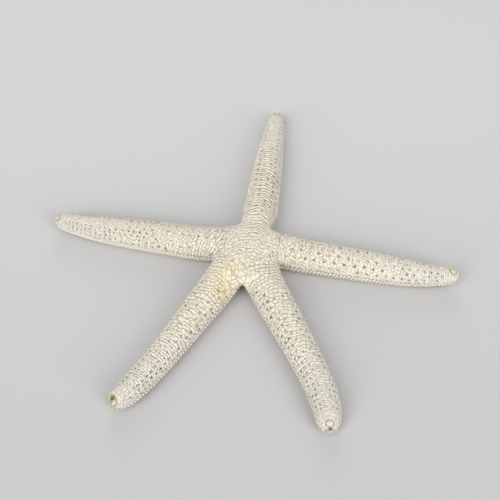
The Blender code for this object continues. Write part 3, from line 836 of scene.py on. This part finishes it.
# %% Bleached calcite skin, grown in plates
# chalky and matt, with the light sinking in a little, so that edges look soft
PALEST_SKIN = "FEFAF0"
WASHES = (  # what spreads the wash, what else it depends on, how strong it is, its colour
    (bleached, None, 1.0, "FAF4E7"),
    (towards_end, None, 0.8, "FBFCFA"),
    (plate_tone, None, 0.6, "FFFDF6"),
    (granule_edges, None, 0.48, "CBBFA6"),
    (specks, None, 0.34, "CABFA8"),
    (furrows, None, 0.28, "9C907A"),
    (kept["stain"], None, 0.42, "E9D7A0"),
    (kept["cream"], None, 0.34, "F0DCA8"),
    # painted highlight: the chains of beads on the flanks are whitened, as if lit from low in front
    (on_beads, None, 0.6, "FFFEFA"),
    # painted shade on the plates' slopes, then brown dirt and painted shade in the lines between them
    (slope_shade, dirt_and_shade, 0.30, "C2B8A2"),
    (crevice_dirt_and_shade, dirt_and_shade, 1.0, "72674F"),
    # painted shade inside the pores
    (pore_wall_shade, kept["pore_strength"], 0.68, "82735A"),
    (pore_bottom_shade, kept["pore_strength"], 0.64, "5E5039"),
    (kept["under"], None, 0.8, "CBA970"),
    (kept["groove"], None, 0.5, "B39B6B"),
    (end_rims, broken_up, 0.8, "87775A"),
    (kept["amber"], None, 0.90, "947228"),
    # painted shade inside the broken holes and the small pit on the disc
    (kept["hole_shade"], None, 0.95, "2A1E10"),
)

colour = PALEST_SKIN
for spread, other, strength, wash in WASHES:
    share = add(tree, "Math", (spread, strength), operation="MULTIPLY")
    if other is not None:
        share = add(tree, "Math", (share, other), operation="MULTIPLY")
    colour = add(tree, "Mix", {0: share, 6: colour, 7: wash}, 2, data_type="RGBA")
tree.links.new(colour, shader.inputs["Base Color"])
shader.inputs["IOR"].default_value = 1.49
shader.inputs["Roughness"].default_value = 0.85
shader.inputs["Subsurface Weight"].default_value = 0.08
shader.inputs["Subsurface Radius"].default_value = (0.8 * MM, 0.6 * MM, 0.4 * MM)
shader.inputs["Subsurface Scale"].default_value = 1.0
print("washes of colour:", len(WASHES))

# %% Relief finer than the mesh
PLATE_BUMP, GRANULE_BUMP, FURROW_BUMP = 0.35 * MM, 0.16 * MM, 0.12 * MM

plate_height = add(tree, "MapRange", (kept["rise"], 0.0, 1.0, 0.3, 1.0))
plate_height = add(tree, "Math", (plate_top, plate_height), operation="MULTIPLY")
furrow_height = add(tree, "MapRange", (net, 0.0, 0.3), **SMOOTH)
bump = add(tree, "Bump", {"Strength": 1.0, "Distance": PLATE_BUMP, "Height": plate_height})
bump = add(tree, "Bump", {"Strength": 0.6, "Distance": GRANULE_BUMP, "Height": granules, "Normal": bump},
           invert=True)
bump = add(tree, "Bump", {"Strength": 0.7, "Distance": FURROW_BUMP, "Height": furrow_height, "Normal": bump})
tree.links.new(bump, shader.inputs["Normal"])
starfish.data.materials.append(skin)
print("nodes in the skin:", len(tree.nodes))

# %% [markdown]
# ## Floor, light and camera
# The starfish lies on plain pale paper. Its shadows in the photograph are broad and pale, so the light is
# soft: two low and two high square boxes in front, one behind, and pale surroundings. One large box above
# would be simpler, but it lights both flanks of an arm alike, and here the left ones are lighter. The
# camera stands where the photograph was taken, which the width of the arms near and far gives.

# %% Pale floor
# matt paper has no gloss, so it shows the shadows, and it is painted greyer in front as shade
FLOOR_SIZE = 4.0
# painted shade: the paper's colour goes from greyer in front to paler behind, in place of light that falls
# off towards the front
SHADED_FRONT, LIT_BACK = (-0.13, "BBBBBD"), (0.13, "C7C7C9")  # place from front to back and colour: greyer in front

bpy.ops.mesh.primitive_plane_add(size=FLOOR_SIZE, location=(0.0, 0.0, 0.0))
floor = bpy.context.object
floor.name = "floor"
paper = bpy.data.materials.new("matt_paper")
paper.use_nodes = True
paper_tree = paper.node_tree
front_to_back = add(paper_tree, "SeparateXYZ", (add(paper_tree, "TexCoord", (), "Object"),), "Y")
front_to_back = add(paper_tree, "MapRange", (front_to_back, SHADED_FRONT[0], LIT_BACK[0]), **SMOOTH)
shade = add(paper_tree, "Mix", {0: front_to_back, 6: SHADED_FRONT[1], 7: LIT_BACK[1]}, 2, data_type="RGBA")
paper_tree.links.new(shade, paper_tree.nodes["Principled BSDF"].inputs["Base Color"])
paper_tree.nodes["Principled BSDF"].inputs["Roughness"].default_value = 0.95
floor.data.materials.append(paper)
print("floor, m:", FLOOR_SIZE)

# %% Soft light
SURROUNDINGS, SURROUNDING_STRENGTH = "F8F8F7", 0.48
BOX_COLOUR = "FFFEFB"
BOXES = {  # place in metres, size, power in watts
    "low_left_box": ((-1.41, -1.41, 0.93), 1.2, 18.5),
    "low_right_box": ((1.41, -1.41, 0.93), 1.2, 18.5),
    "high_left_box": ((-1.0, -1.0, 1.69), 1.4, 15.9),
    "high_right_box": ((1.0, -1.0, 1.69), 1.4, 8.2),
    "back_box": ((0.0, 1.99, 0.93), 1.2, 12.5),
}

world = bpy.data.worlds.new("studio")
world.use_nodes = True
world.node_tree.nodes["Background"].inputs["Color"].default_value = linear(SURROUNDINGS)
world.node_tree.nodes["Background"].inputs["Strength"].default_value = SURROUNDING_STRENGTH
bpy.context.scene.world = world
for name, (place, size, power) in BOXES.items():
    light = bpy.data.lights.new(name, "AREA")
    light.shape = "SQUARE"
    light.size = size
    light.energy = power
    light.color = linear(BOX_COLOUR)[:3]
    box = bpy.data.objects.new(name, light)
    bpy.context.scene.collection.objects.link(box)
    box.location = place
    box.rotation_euler = (-Vector(place)).to_track_quat("-Z", "Y").to_euler()
print("light, W:", round(sum(power for _, _, power in BOXES.values()), 1))

# %% Camera
ELEVATION = math.radians(52.126)
DISTANCE = 278.75 * MM
TARGET = Vector((-0.336, 0.620, 0.0)) * MM
PICTURE_PIXELS = 500
FOCAL_PIXELS = 705.8  # focal length in pixels of a picture that wide
SENSOR_WIDTH = 36.0

camera_data = bpy.data.cameras.new("camera")
camera_data.sensor_width = SENSOR_WIDTH
camera_data.lens = SENSOR_WIDTH * FOCAL_PIXELS / PICTURE_PIXELS
camera_data.clip_start = MM
camera = bpy.data.objects.new("camera", camera_data)
bpy.context.scene.collection.objects.link(camera)
camera.location = TARGET + DISTANCE * Vector((0.0, -math.cos(ELEVATION), math.sin(ELEVATION)))
camera.rotation_euler = (math.pi / 2 - ELEVATION, 0.0, 0.0)
bpy.context.scene.camera = camera
bpy.context.scene.view_settings.view_transform = "Standard"
print("lens, mm:", round(camera_data.lens, 1))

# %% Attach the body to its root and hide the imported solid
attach(starfish, "root")
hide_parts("starfish")
